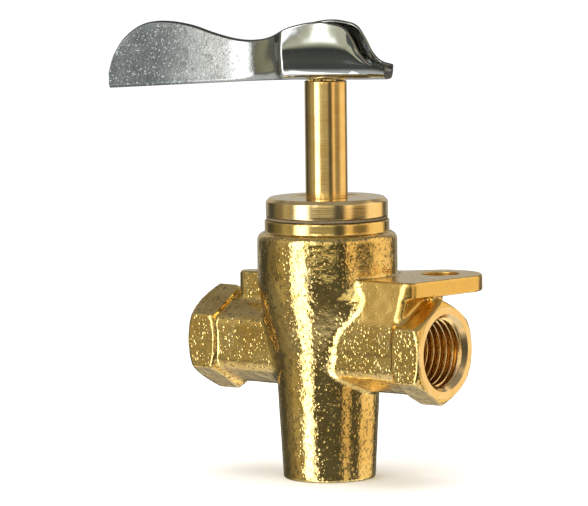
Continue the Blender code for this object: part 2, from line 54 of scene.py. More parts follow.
# Driving sizes of the valve
BODY_LOW, BODY_HIGH = (np.array(corner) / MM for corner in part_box("valve_body"))
STEM_LOW, STEM_HIGH = (np.array(corner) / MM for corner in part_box("drive_stem"))
CAP_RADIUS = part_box("bonnet_cap")[1][0] / MM
PORT_HEIGHT = 25.3
PORT_FACE = BODY_HIGH[0]
HEX_HALF = 8.73
HEX_START = PORT_FACE - 6.3
LEVER_ANGLE = math.radians(22)


# ---------------------------------------------------------------- camera

VIEW_AZIMUTH = math.radians(36.74)
VIEW_ELEVATION = math.radians(5.732)
VIEW_ROLL = math.radians(-0.668)
VIEW_PLACE = (0.43146, -0.58852, 0.11585)
LENS = 238.24


def camera():
    """The lens and its place, a long way off and slightly above the ports."""
    azimuth, elevation, roll = VIEW_AZIMUTH, VIEW_ELEVATION, VIEW_ROLL
    level = math.cos(elevation)
    back = Vector((math.sin(azimuth) * level, -math.cos(azimuth) * level, math.sin(elevation)))
    side = Vector((0.0, 0.0, 1.0)).cross(back).normalized()
    above = back.cross(side)
    right = side * math.cos(roll) + above * math.sin(roll)
    up = above * math.cos(roll) - side * math.sin(roll)
    data = bpy.data.cameras.new("camera")
    data.sensor_width = 36.0
    data.lens = LENS
    data.clip_start = 0.05
    eye = bpy.data.objects.new("camera", data)
    bpy.context.scene.collection.objects.link(eye)
    place = Matrix((right, up, back)).transposed().to_4x4()
    place.translation = Vector(VIEW_PLACE)
    eye.matrix_world = place
    bpy.context.scene.camera = eye


# ---------------------------------------------------------------- shader maths

class Value:
    """A socket that adds Math nodes when it is used in an expression."""

    def __init__(self, tree, socket):
        self.tree = tree
        self.socket = socket

    def math(self, operation, *others):
        """A Math node over this value and others."""
        return self.worked_out(operation, self, *others)

    def worked_out(self, operation, *values):
        """A Math node over any values, in the order given."""
        inputs = dict(enumerate(values))
        made = add_node(self.tree, "ShaderNodeMath", {"operation": operation}, inputs)
        return Value(self.tree, made.outputs[0])

    def __add__(self, other):
        return self.math("ADD", other)

    def __sub__(self, other):
        return self.math("SUBTRACT", other)

    def __mul__(self, other):
        return self.math("MULTIPLY", other)

    __radd__ = __add__
    __rmul__ = __mul__

    def __rsub__(self, other):
        return self.worked_out("SUBTRACT", other, self)

    def between(self, low, high):
        """A smooth step from 0 at low to 1 at high."""
        made = add_node(
            self.tree, "ShaderNodeMapRange", {"interpolation_type": "SMOOTHSTEP"},
            {"Value": self, "From Min": low, "From Max": high},
        )
        return Value(self.tree, made.outputs[0])


def feed(tree, socket, value):
    """Link a Value to a socket, or set the socket to a plain number or colour."""
    if isinstance(value, Value):
        tree.links.new(value.socket, socket)
    elif hasattr(value, "__len__") and len(value) == 3 and len(socket.default_value) == 4:
        socket.default_value = (*value, 1.0)
    else:
        socket.default_value = value


def add_node(tree, kind, settings=None, inputs=None):
    """A node of one kind: its settings come first, then its sockets by name or place.

    The setting "stops" is a ramp's list of places and colours.
    """
    made = tree.nodes.new(kind)
    for name, value in (settings or {}).items():
        if name == "stops":
            set_stops(made.color_ramp.elements, value)
        else:
            setattr(made, name, value)
    for name, value in (inputs or {}).items():
        feed(tree, made.inputs[name], value)
    return made


def set_stops(elements, stops):
    """Give a ramp its (place, colour) stops."""
    while len(elements) < len(stops):
        elements.new(0.5)
    for element, (place, colour) in zip(elements, stops):
        element.position = place
        element.color = (*colour, 1.0)


def ramp(value, *stops):
    """A colour ramp through (place, colour) stops."""
    made = add_node(value.tree, "ShaderNodeValToRGB", {"stops": stops}, {"Fac": value})
    return Value(value.tree, made.outputs["Color"])


def mixed(factor, one, other, tree):
    """One colour where the factor is 0 and the other where it is 1."""
    inputs = {0: factor, 6: one, 7: other}
    made = add_node(tree, "ShaderNodeMix", {"data_type": "RGBA"}, inputs)
    return Value(tree, made.outputs[2])


def added(one, other, tree):
    """The sum of two colours."""
    made = add_node(tree, "ShaderNodeVectorMath", {"operation": "ADD"}, {0: one, 1: other})
    return Value(tree, made.outputs[0])


class Finish:
    """A material under construction: a Principled shader and the patterns that feed it."""

    def __init__(self, name, metallic, roughness, colour):
        self.material = bpy.data.materials.new(name)
        self.material.use_nodes = True
        self.tree = self.material.node_tree
        self.shader = self.tree.nodes["Principled BSDF"]
        self.set("Metallic", metallic)
        self.set("Roughness", roughness)
        self.set("Base Color", colour)
        place = add_node(self.tree, "ShaderNodeTexCoord")
        self.place = Value(self.tree, place.outputs["Object"])

    def scaled(self, x, y, z):
        """Object coordinates stretched along each axis."""
        inputs = {0: self.place, 1: (x, y, z)}
        made = add_node(self.tree, "ShaderNodeVectorMath", {"operation": "MULTIPLY"}, inputs)
        return Value(self.tree, made.outputs[0])

    def noise(self, size, detail=2.0, roughness=0.5, place=None):
        """Cloudy noise whose blotches are about size millimetres across."""
        made = add_node(self.tree, "ShaderNodeTexNoise", None, {
            "Vector": place or self.place, "Scale": 1.0 / (size * MM), "Detail": detail,
            "Roughness": roughness,
        })
        return Value(self.tree, made.outputs["Fac"])

    def cells(self, size, place=None):
        """Distance to the nearest of points scattered about size millimetres apart, in cells."""
        inputs = {"Vector": place or self.place, "Scale": 1.0 / (size * MM)}
        made = add_node(self.tree, "ShaderNodeTexVoronoi", None, inputs)
        return Value(self.tree, made.outputs["Distance"])

    def attribute(self, name):
        """One of the piece's own marks, from 0 to 1."""
        made = add_node(self.tree, "ShaderNodeAttribute", {"attribute_name": name})
        return Value(self.tree, made.outputs["Fac"])

    def height(self, value, distance):
        """Bump from a height of 0 to 1 that stands for a distance in millimetres."""
        inputs = {"Height": value, "Distance": distance * MM}
        made = add_node(self.tree, "ShaderNodeBump", None, inputs)
        self.set("Normal", Value(self.tree, made.outputs["Normal"]))

    def set(self, name, value):
        """Feed one socket of the shader."""
        feed(self.tree, self.shader.inputs[name], value)


# ---------------------------------------------------------------- finishes

def forged_brass():
    """Tumbled forging: orange-peel skin, dents and dark freckles, smooth where it is
    machined and nearly smooth where its web and lug are dressed."""
    look = Finish("forged_brass", 1.0, 0.2, (0.80, 0.56, 0.21))
    machined = look.attribute("machined")
    dressed = look.attribute("dressed")
    forged = (1.0 - machined) * (1.0 - dressed * 0.8)
    peel = look.noise(1.3, 2.0, 0.5)
    dents = look.cells(1.0).between(0.05, 0.30)
    nicks = look.cells(0.6, look.scaled(1.0, 1.0, 0.9)).between(0.04, 0.28)
    grime = look.noise(0.8, 3.0, 0.6).between(0.55, 0.62)
    cloud = look.noise(6.0, 3.0, 0.5)
    clean = ramp(
        cloud, (0.30, (0.70, 0.47, 0.15)), (0.55, (0.80, 0.57, 0.21)), (0.75, (0.82, 0.63, 0.27)),
    )
    freckled = mixed(grime * forged * 0.65, clean, (0.18, 0.16, 0.08), look.tree)
    dented = mixed((1.0 - dents) * forged * 0.5, freckled, (0.30, 0.24, 0.10), look.tree)
    look.set("Base Color", mixed(dressed * 0.8, dented, (0.76, 0.50, 0.15), look.tree))
    dulled = grime * forged * 0.16 + machined * 0.05 + dressed * 0.12
    look.set("Roughness", 0.09 + cloud * 0.06 + dulled)
    skin = (peel * 0.85 + dents * 0.36 + nicks * 0.17) * forged
    rings = look.noise(0.12, 1.0, 0.5, look.scaled(0.02, 0.02, 1.0)) * machined * 0.06
    look.height(skin + rings, 0.13)
    return look.material


def turned_brass(name, colour, ring_axis="Z", ring_depth=0.02, roughness=0.14):
    """Bright turned brass: fine rings round the axis, faint stains and a few dark specks."""
    look = Finish(name, 1.0, roughness, colour)
    flat = {"Z": (0.02, 0.02, 1.0), "X": (1.0, 0.02, 0.02)}[ring_axis]
    rings = look.noise(0.16, 2.0, 0.7, look.scaled(*flat))
    stain = look.noise(3.2, 4.0, 0.6)
    specks = look.noise(0.55, 2.0, 0.5).between(0.70, 0.76)
    warm = tuple(c * k for c, k in zip(colour, (0.93, 0.84, 0.70)))
    base = ramp(stain, (0.35, warm), (0.6, colour))
    look.set("Base Color", mixed(specks * 0.75, base, (0.20, 0.15, 0.07), look.tree))
    look.set("Roughness", roughness + stain * 0.08 + specks * 0.2)
    look.height(rings + look.noise(2.2, 1.0, 0.4) * 0.6, ring_depth)
    return look.material


def plated_sheet():
    """Plated pressed sheet: mirror bright round the hub, satin and speckled along the paddle, with
    painted shade down the paddle and a painted dark reflection on its top edge.
    """
    look = Finish("plated_sheet", 1.0, 0.12, (0.50, 0.52, 0.51))
    satin = look.attribute("satin")
    edge = look.attribute("cut_edge")
    grain = look.noise(0.55, 3.0, 0.7)
    cloud = look.noise(5.0, 4.0, 0.6)
    specks = look.noise(0.45, 2.0, 0.55).between(0.58, 0.68)
    tarnish = look.noise(1.1, 3.0, 0.6).between(0.56, 0.66)
    # Painted shade: random mottle mixed with a painted ramp that darkens the paddle towards its free end
    # and lightens it towards the hub.
    rubbed = cloud * 0.5 + look.attribute("rubbed") * 0.5
    shaded_paddle = ramp(
        rubbed, (0.20, (0.09, 0.10, 0.105)), (0.42, (0.17, 0.185, 0.19)),
        (0.75, (0.42, 0.43, 0.43)),
    )
    bright = mixed(satin, (0.40, 0.42, 0.41), shaded_paddle, look.tree)
    spotted = mixed(tarnish * (0.2 + satin * 0.3), bright, (0.10, 0.105, 0.10), look.tree)
    speckled = mixed(specks * satin * 0.45, spotted, (0.66, 0.68, 0.68), look.tree)
    # Painted dark reflection: the top edge and the tail's end turn near black.
    look.set("Base Color", mixed(edge * 0.9, speckled, (0.06, 0.06, 0.055), look.tree))
    look.set("Roughness", 0.08 + satin * (0.20 + cloud * 0.16) + tarnish * 0.08 + edge * 0.25)
    look.height(grain * (satin + 0.05) + look.noise(4.0, 1.0, 0.4) * 0.9, 0.05)
    return look.material


def zinc_steel():
    """Zinc-plated steel, softly mottled."""
    look = Finish("zinc_steel", 1.0, 0.3, (0.58, 0.59, 0.60))
    cloud = look.noise(1.2, 3.0, 0.6)
    look.set("Base Color", ramp(cloud, (0.3, (0.48, 0.49, 0.50)), (0.7, (0.66, 0.67, 0.68))))
    look.set("Roughness", 0.2 + cloud * 0.2)
    look.height(look.noise(0.2, 2.0, 0.6), 0.006)
    return look.material


def seal_rubber():
    """Black rubber with a faint bloom."""
    look = Finish("seal_rubber", 0.0, 0.55, (0.03, 0.03, 0.035))
    bloom = look.noise(1.5, 3.0, 0.6)
    look.set("Base Color", ramp(bloom, (0.4, (0.022, 0.022, 0.025)), (0.8, (0.06, 0.06, 0.065))))
    look.set("Roughness", 0.45 + bloom * 0.2)
    look.height(look.noise(0.15, 2.0, 0.5), 0.008)
    return look.material


def gasket_fibre():
    """Compressed fibre sheet, matt and flecked."""
    look = Finish("gasket_fibre", 0.0, 0.8, (0.16, 0.12, 0.06))
    flecks = look.noise(0.35, 4.0, 0.7, look.scaled(1.0, 1.0, 3.0))
    look.set("Base Color", ramp(flecks, (0.35, (0.10, 0.075, 0.04)), (0.65, (0.24, 0.18, 0.10))))
    look.set("Roughness", 0.7 + flecks * 0.2)
    look.height(flecks, 0.03)
    return look.material


# ---------------------------------------------------------------- joining of solids

def joined(one, other, radius):
    """Distance to two solids joined with a round fillet, where each distance is positive outside."""
    reach = np.hypot(np.maximum(radius - one, 0.0), np.maximum(radius - other, 0.0))
    return np.maximum(radius, np.minimum(one, other)) - reach


def common(one, other, radius):
    """Distance to what two solids share, with the edge between them rounded."""
    return -joined(-one, -other, radius)


def smooth(share):
    """A smooth step from 0 to 1."""
    share = np.clip(share, 0.0, 1.0)
    return share * share * (3.0 - 2.0 * share)


def polygon_distance(x, y, outline):
    """Distance in plan to a closed outline, negative inside it.

    It is the least distance to the outline's sides, and a crossing count gives its sign.
    """
    nearest = np.full(np.broadcast(x, y).shape, 1e9)
    inside = np.zeros(nearest.shape, bool)
    for (ax, ay), (bx, by) in zip(outline, outline[1:] + outline[:1]):
        length = (bx - ax) ** 2 + (by - ay) ** 2
        along = np.clip(((x - ax) * (bx - ax) + (y - ay) * (by - ay)) / length, 0.0, 1.0)
        off_x, off_y = x - ax - along * (bx - ax), y - ay - along * (by - ay)
        nearest = np.minimum(nearest, off_x ** 2 + off_y ** 2)
        if ay != by:
            crossing = ax + (y - ay) * (bx - ax) / (by - ay)
            inside ^= ((ay > y) != (by > y)) & (x < crossing)
    return np.where(inside, -1.0, 1.0) * np.sqrt(nearest)


def arc(centre, radius, start, end, steps):
    """Points on a plan arc between two angles in degrees, both ends included."""
    angles = np.radians(np.linspace(start, end, steps + 1))
    return [(centre[0] + radius * math.cos(a), centre[1] + radius * math.sin(a)) for a in angles]


# ---------------------------------------------------------------- meshes

def add_piece(name, points, faces, material, body, stands_for=(), marks=None, normals=None):
    """Put points (mm) and faces of a whole-array shape into a piece that rides on a body."""
    mesh = bpy.data.meshes.new(name)
    mesh.vertices.add(len(points))
    mesh.vertices.foreach_set("co", (points * MM).astype(np.float32).ravel())
    corners = faces.shape[1]
    mesh.loops.add(faces.size)
    mesh.loops.foreach_set("vertex_index", faces.ravel().astype(np.int32))
    mesh.polygons.add(len(faces))
    mesh.polygons.foreach_set("loop_start", np.arange(0, faces.size, corners, dtype=np.int32))
    mesh.update(calc_edges=True)
    mesh.validate()
    mesh.shade_smooth()
    for label, values in (marks or {}).items():
        layer = mesh.attributes.new(label, "FLOAT", "POINT")
        layer.data.foreach_set("value", values.astype(np.float32))
    if normals is not None:
        mesh.normals_split_custom_set_from_vertices(normals)
    else:
        mesh.set_sharp_from_angle(angle=math.radians(38))
    mesh.materials.append(material)
    piece = bpy.data.objects.new(name, mesh)
    bpy.context.scene.collection.objects.link(piece)
    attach(piece, body)
    if stands_for:
        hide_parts(*stands_for)
    return piece


def net(field, low, high, cell):
    """Quads over the zero of a distance field.

    Each grid cell that the zero passes through gets one point, the mean of the crossings
    on the cell's edges, and each grid edge that crosses it gets a quad of its four cells.
    The points then step along the field's slope onto the zero.
    Returns points, quads and the field's unit slope at the points.
    """
    axes = [np.arange(a, b + cell, cell) for a, b in zip(low, high)]
    grid = field(axes[0][:, None, None], axes[1][None, :, None], axes[2][None, None, :])
    grid = np.broadcast_to(grid, [len(axis) for axis in axes]).copy()
    inside = grid < 0
    cells = [n - 1 for n in grid.shape]
    total = np.zeros((*cells, 3))
    count = np.zeros(cells)
    for axis in range(3):
        others = [k for k in range(3) if k != axis]
        for step in ((0, 0), (0, 1), (1, 0), (1, 1)):
            start, stop = [0, 0, 0], [0, 0, 0]
            for k, s in zip(others, step):
                start[k] = stop[k] = s
            stop[axis] = 1
            one = grid[tuple(slice(s, s + n) for s, n in zip(start, cells))]
            other = grid[tuple(slice(s, s + n) for s, n in zip(stop, cells))]
            cross = (one < 0) != (other < 0)
            share = np.where(cross, one / np.where(cross, one - other, 1.0), 0.0)
            count += cross
            total[..., axis] += share
            for k, s in zip(others, step):
                total[..., k] += cross * s
    used = count > 0
    number = np.full(cells, -1)
    number[used] = np.arange(used.sum())
    corner = np.argwhere(used)
    points = (corner + total[used] / count[used][:, None]) * cell + np.array([a[0] for a in axes])
    quads = []
    for axis in range(3):
        ahead = np.moveaxis(inside, axis, 0)
        around = np.moveaxis(number, axis, 0)
        change = ahead[:-1, 1:-1, 1:-1] != ahead[1:, 1:-1, 1:-1]
        at = np.argwhere(change)
        i, j, k = at[:, 0], at[:, 1], at[:, 2]
        ring = ((j, k), (j + 1, k), (j + 1, k + 1), (j, k + 1))
        quad = np.stack([around[i, a, b] for a, b in ring], 1)
        leaving = ahead[:-1, 1:-1, 1:-1][change]
        flip = leaving if axis != 1 else ~leaving
        quads.append(np.where(flip[:, None], quad, quad[:, ::-1]))
    points, normals = settled(field, points, cell)
    return points, np.concatenate(quads), normals


def slope(field, points, reach=0.02):
    """The field and its slope at scattered points, by central differences."""
    def at(shift):
        return field(points[:, 0] + shift[0], points[:, 1] + shift[1], points[:, 2] + shift[2])

    steps = np.eye(3) * reach
    grade = np.stack([(at(s) - at(-s)) / (2.0 * reach) for s in steps], 1)
    return at((0.0, 0.0, 0.0)), grade


def settled(field, points, cell):
    """Points moved onto the field's zero in short steps, and the unit slopes there."""
    for _ in range(4):
        value, grade = slope(field, points)
        size = np.maximum((grade ** 2).sum(1), 0.05)
        move = grade * (value / size)[:, None]
        length = np.maximum(np.linalg.norm(move, axis=1), 1e-9)
        points = points - move * np.minimum(1.0, 0.4 * cell / length)[:, None]
    grade = slope(field, points)[1]
    return points, grade / np.maximum(np.linalg.norm(grade, axis=1), 1e-9)[:, None]


def grid_faces(rows, columns, wrap_rows, wrap_columns):
    """Quads of a grid of points, whose rows or columns may close on themselves."""
    i = np.arange(rows if wrap_rows else rows - 1)[:, None]
    j = np.arange(columns if wrap_columns else columns - 1)[None, :]
    after_i, after_j = (i + 1) % rows, (j + 1) % columns
    ring = ((i, j), (after_i, j), (after_i, after_j), (i, after_j))
    corners = [np.broadcast_to(a * columns + b, (i.size, j.size)) for a, b in ring]
    return np.stack([corner.ravel() for corner in corners], 1)


def rounded(profile, radii, steps=5):
    """A closed profile with each corner replaced by an arc of its own radius."""
    made = []
    count = len(profile)
    for k, radius in enumerate(radii):
        corner = np.array(profile[k], float)
        before = np.array(profile[k - 1], float) - corner
        after = np.array(profile[(k + 1) % count], float) - corner
        before, after = before / np.linalg.norm(before), after / np.linalg.norm(after)
        half = math.acos(max(-1.0, min(1.0, float(before @ after)))) / 2
        if radius <= 0 or half > 1.55:
            made.append(corner)
            continue
        reach = radius / math.tan(half)
        middle = (before + after) / np.linalg.norm(before + after) * (radius / math.sin(half))
        one, other = before * reach - middle, after * reach - middle
        for share in np.linspace(0.0, 1.0, steps + 1):
            way = one * (1 - share) + other * share
            made.append(corner + middle + way / np.linalg.norm(way) * radius)
    return np.array(made)


def dense(profile, longest, closed=True):
    """A profile with its long sides divided, as a closed one or an open one."""
    made = []
    count = len(profile) if closed else len(profile) - 1
    for one, other in zip(profile[:count], np.roll(profile, -1, 0)[:count]):
        parts = max(1, math.ceil(np.linalg.norm(other - one) / longest))
        made.append(one + (other - one) * (np.arange(parts) / parts)[:, None])
    if not closed:
        made.append(profile[-1:])
    return np.concatenate(made)


def turned(profile, sides, axis="Z"):
    """A closed (radius, height) profile carried round the axis: points and quads of a ring."""
    angle = np.arange(sides) * TAU / sides
    radius, height = profile[:, 0][:, None], profile[:, 1][:, None]
    across, along = radius * np.cos(angle), radius * np.sin(angle)
    level = np.broadcast_to(height, across.shape)
    order = (across, along, level) if axis == "Z" else (level, across, along)
    points = np.stack([part.ravel() for part in order], 1)
    return points, grid_faces(len(profile), sides, True, True)[:, ::-1]


# ---------------------------------------------------------------- valve body

BARREL_TOP = 46.7
SHOULDER_RADIUS = 1.45
RIM_RADIUS = 11.75
LUG_TOP = 38.6
LUG_THICKNESS = 3.1
LUG_REACH, LUG_HEADING = 21.3, math.radians(31)
LUG_HOLE = (LUG_REACH * math.cos(LUG_HEADING), LUG_REACH * math.sin(LUG_HEADING))
LUG_HOLE_RADIUS = 3.5
LUG_SIDE = 6.6
NECK_HALF = 8.05
SLEEVE_BORE = 7.32
FLOW_RADIUS = 3.3
SEAT_RADIUS, SEAT_LOW, SEAT_SLOPE = 6.05, 7.0, 2.0 / 27.6
BODY_CELL = 0.41


def barrel_radius(z):
    """Radius of the barrel: a slight cone, then a smooth flare up to the shoulder."""
    cone = 8.7 + 1.15 * np.clip(z, 0.0, 21.0) / 21.0
    start = smooth(0.12)
    share = np.clip((z - 21.0) / 18.0, 0.0, 1.0)
    return cone + 3.35 * (smooth(0.12 + 0.88 * share) - start) / (1.0 - start)


def barrel_field(x, y, z):
    """The barrel with its round shoulder, and the turned rim on top of it."""
    r = np.hypot(x, y)
    side = (r - barrel_radius(z)) * 0.98
    shaft = common(common(side, z - BARREL_TOP, SHOULDER_RADIUS), -z, 0.45)
    rim = np.maximum(common(r - RIM_RADIUS, z - BODY_HIGH[2], 0.25), 42.0 - z)
    return joined(shaft, rim, 0.3)


def hexagon_field(x, y, z):
    """A hexagon on the port's axis with two flats facing sideways and both ends chamfered."""
    reach, up = np.abs(x), np.abs(z - PORT_HEIGHT)
    flats = common(np.abs(y) - HEX_HALF, 0.5 * np.abs(y) + 0.866 * up - HEX_HALF, 0.3)
    radius = np.hypot(y, up)
    front = ((radius - HEX_HALF) * 1.1 + (reach - PORT_FACE) * 1.47) / 1.836
    rear = ((radius - 1.02 * HEX_HALF) * 0.9 - (reach - HEX_START) * 1.31) / 1.589
    ends = common(reach - PORT_FACE, HEX_START - reach, 0.1)
    return common(common(flats, common(front, rear, 0.1), 0.35), ends, 0.25)


def neck_field(x, y, z):
    """The neck between barrel and hexagon: six soft sides, a little smaller than the hexagon."""
    up = np.abs(z - PORT_HEIGHT)
    oblique = 0.5 * np.hypot(y, 1.6) + 0.866 * up - NECK_HALF
    sides = common(np.abs(y) - NECK_HALF, oblique, 1.5)
    return np.maximum(sides, np.abs(x) - HEX_START - 1.2)


def lug_outline():
    """The lug in plan: a straight near side, a soft corner, and an end round the hole."""
    outline = [(0.0, -LUG_SIDE)] + arc((22.1, 1.9 - LUG_SIDE), 1.9, -90, -8, 8)
    return outline + arc(LUG_HOLE, 7.9, -8, 150, 30) + [(0.0, 7.0)]


def lug_field(x, y, z):
    """The lug plate and the drafted web under it."""
    plan = polygon_distance(x, y, lug_outline())
    plate = common(common(plan, z - LUG_TOP, 0.45), LUG_TOP - LUG_THICKNESS - z, 0.4)
    drop = np.clip((LUG_TOP - z) / 8.0, 0.0, 1.0)
    near = -y - (LUG_SIDE - 0.1) - 1.35 * drop
    far = y - 6.0 - 0.8 * drop
    end = x - 23.2 + 1.2 * drop
    web = common(common(common(near, far, 1.0), end, 1.6), -x, 0.1)
    web = common(common(web, z - LUG_TOP + 0.35, 0.5), PORT_HEIGHT - z, 0.5)
    return joined(plate, web, 0.7)


def rib_field(x, y, z):
    """The rib on top of the left neck, with a round end and soft edges."""
    shape = np.hypot(np.maximum(-x - 17.9, 0.0), y) - 2.3
    shape = np.maximum(shape, x)
    return common(common(shape, z - 38.4, 0.6), PORT_HEIGHT - z, 0.5)


def hollow_field(x, y, z):
    """What is bored into the forging: seat, spring chamber, ports and the lug's hole."""
    r = np.hypot(x, y)
    seat = SEAT_RADIUS + SEAT_SLOPE * (z - SEAT_LOW)
    bore = np.where(z < 34.6, seat, 9.2)
    cavity = np.maximum(r - bore, 4.0 - z)
    reach, radius = np.abs(x), np.hypot(y, z - PORT_HEIGHT)
    flow = radius - FLOW_RADIUS
    point = (radius - (SLEEVE_BORE + (reach - PORT_FACE + 10.6) * 1.6)) * 0.53
    socket = np.maximum(radius - SLEEVE_BORE, point)
    hole = np.hypot(x - LUG_HOLE[0], y - LUG_HOLE[1]) - LUG_HOLE_RADIUS
    hole = common(hole, np.abs(z - 37.0) - 4.0, 0.1)
    return np.minimum(np.minimum(cavity, np.minimum(flow, socket)), hole)


def lumps(x, y, z):
    """Slow waves of a few hundredths of a millimetre in a hammered skin."""
    one = np.sin(0.93 * x + 0.4 * z + 1.0) * np.sin(0.81 * y - 0.5 * z + 0.3)
    other = np.sin(1.7 * x - 0.9 * y + 0.7) * np.sin(1.37 * z + 0.6 * y)
    return 0.018 * one + 0.012 * other


def body_field(x, y, z):
    """The whole forging: barrel, necks, hexagons, lug and rib, less what is bored out of it."""
    barrel = barrel_field(x, y, z)
    ports = joined(neck_field(x, y, z), hexagon_field(x, y, z), 0.6)
    right = joined(ports, lug_field(x, y, z), 1.0)
    left = joined(ports, rib_field(x, y, z), 1.0)
    arms = np.where(x > 0, right, left)
    fillet = np.where(x > 0, right_fillet(z), left_fillet(z))
    waves = lumps(x, y, z) * smooth((46.3 - z) / 1.0) * smooth((z - 0.3) / 1.5)
    forging = joined(barrel, arms, fillet) + waves
    hollow = hollow_field(x, y, z)
    return common(forging, -hollow, 0.22)


def right_fillet(z):
    """Fillet where the right arm meets the barrel: wide beside the lug and tight on its top."""
    return 0.95 + 1.9 * smooth((z - 28.0) / 6.0) - 2.35 * smooth((z - 34.6) / 4.2)


def left_fillet(z):
    """Fillet where the left arm meets the barrel."""
    return 1.1 - 0.6 * smooth((z - 33.0) / 4.0)


def valve_body(material):
    """The forging as one fine skin, marked where it is machined."""
    low = BODY_LOW - 3 * BODY_CELL
    high = BODY_HIGH + 3 * BODY_CELL
    points, quads, normals = net(body_field, low, high, BODY_CELL)
    x, y, z = points.T
    radius = np.hypot(y, z - PORT_HEIGHT)
    bored = smooth((hollow_field(x, y, z) * -1.0 + 0.15) / 0.1)
    faces = smooth((np.abs(x) - PORT_FACE + 0.3) / 0.25) * (radius < 9.0)
    rim = smooth((z - BARREL_TOP + 0.1) / 0.3)
    bottom = smooth((0.25 - z) / 0.2)
    machined = np.clip(np.maximum.reduce([bored, faces, rim, bottom]), 0.0, 1.0)
    dressed = smooth((z - 30.0) / 1.2) * smooth((x - 11.5) / 2.5) * smooth((z - 38.9) / -0.6)
    return add_piece(
        "forged_body", points, quads, material, "valve", ("valve_body",),
        {"machined": machined, "dressed": dressed}, normals,
    )


# ---------------------------------------------------------------- port threads

PITCH = 1.411
THREAD_DEPTH = 1.02
THREAD_TURNS = 7.4
MOUTH_RADIUS = 6.15


def port_thread(name, side, material):
    """A port's threaded wall with the faced ring round its mouth.

    The profile runs across the faced ring, down the countersink, along the thread and back
    behind it.  Along the thread the radius grows by a rounded V whose phase turns once a
    pitch, so that the crests make a right-handed helix, and it narrows by 1 in 32.
    """
    sides = 160
    start = 0.75
    length = PITCH * THREAD_TURNS
    depth = np.linspace(start, start + length, 180)
    behind, outer = SLEEVE_BORE - 0.04, 8.62
    front = rounded(
        [(behind, start + length + 0.3), (behind, 0.35), (outer, 0.35), (outer, 0.0),
         (7.25, 0.0), (6.5, start)], [0, 0, 0, 0.12, 0.15, 0], 5,
    )
    front = dense(front, 0.3, False)
    depth = depth[1:]
    ring_radius = np.concatenate([front[:, 0], np.full(len(depth), 0.0)])
    ring_depth = np.concatenate([front[:, 1], depth])
    threaded = np.concatenate([np.zeros(len(front)), np.ones(len(depth))])
    angle = np.arange(sides)[None, :] * TAU / sides
    place = ring_depth[:, None]
    phase = (place / PITCH - side * angle / TAU) % 1.0
    tooth = np.clip(np.abs(phase - 0.5) * 2.0 * 1.25 - 0.12, 0.0, 1.0)
    fade = smooth((place - 0.6) / 0.9) * smooth((start + length - place) / 1.2)
    core = MOUTH_RADIUS - (place - start) / 32.0
    crest = core + THREAD_DEPTH * (fade * (1.0 - smooth(tooth)) + (1.0 - fade) * 0.35)
    radius = np.where(threaded[:, None] > 0, crest, ring_radius[:, None])
    level = np.broadcast_to(side * (PORT_FACE + 0.03 - place), radius.shape)
    points = np.stack([level, radius * np.cos(angle), radius * np.sin(angle) + PORT_HEIGHT], 2)
    quads = grid_faces(len(ring_depth), sides, True, True)
    if side > 0:
        quads = quads[:, ::-1]
    return add_piece(name, points.reshape(-1, 3), quads, material, "valve")


# ---------------------------------------------------------------- turned pieces

def bonnet_cap(material):
    """The cap: a flange with a soft chamfer, a spigot, and two ring grooves."""
    bore, groove = 4.27, 5.77
    flange = 49.7
    profile = [
        (bore, 45.6), (8.85, 45.6), (8.85, flange), (CAP_RADIUS, flange),
        (CAP_RADIUS, 52.5), (CAP_RADIUS - 0.7, 53.2), (7.2, 53.2), (6.9, 53.05), (bore + 0.5, 53.05),
        (bore, 52.7), (bore, 51.3), (groove, 51.3), (groove, 49.5), (bore, 49.5),
        (bore, 48.4), (groove, 48.4), (groove, 46.6), (bore, 46.6),
    ]
    radii = [0.1, 0.3, 0.1, 0.15, 0.3, 0.3, 0.1, 0.1, 0.15, 0.1] + [0.08] * 8
    points, quads = turned(dense(rounded(profile, radii, 5), 0.6), 192)
    return add_piece("turned_cap", points, quads, material, "valve", ("bonnet_cap",))


def stem_field(x, y, z):
    """The stem: tang, notched foot, long shaft with a chamfer, squared head and tapped hole."""
    across, along = turned_plan(x, y, LEVER_ANGLE)
    r = np.hypot(x, y)
    foot = common(r - 8.7, np.abs(z - 35.75) - 0.85, 0.12)
    shaft = common(r - 3.97, np.maximum(z - 75.1, 35.5 - z), 0.25)
    tang = common(np.abs(across) - 4.5, np.abs(along) - 1.4, 0.1)
    tang = common(tang, np.abs(z - 33.5) - 1.9, 0.1)
    square = common(common(np.abs(across) - 2.75, np.abs(along) - 2.75, 0.2), np.abs(z - 75.0) - 1.4, 0.2)
    solid = joined(joined(foot, shaft, 0.4), np.minimum(tang, square), 0.05)
    notch_angle = np.arctan2(y, x)
    facing = math.radians(157)
    turn = np.abs((notch_angle - facing + math.pi) % TAU - math.pi)
    notch = np.maximum(np.maximum(6.9 - r, (turn - math.radians(52.6)) * 8.0), np.abs(z - 35.75) - 1.6)
    tapped = np.maximum(r - 1.8, 69.0 - z)
    pin = np.maximum(np.hypot(across, z - 33.1) - 1.2, np.abs(along) - 5.0)
    return np.maximum(solid, -np.minimum(np.minimum(notch, tapped), pin))


def turned_plan(x, y, angle):
    """Plan coordinates along and across a direction turned by an angle about the stem."""
    return x * math.cos(angle) + y * math.sin(angle), y * math.cos(angle) - x * math.sin(angle)


def drive_stem(material):
    """The stem's skin."""
    low, high = STEM_LOW - 0.6, STEM_HIGH + 0.6
    points, quads, normals = net(stem_field, low, high, 0.27)
    return add_piece(
        "turned_stem", points, quads, material, "handle", ("drive_stem",), None, normals,
    )


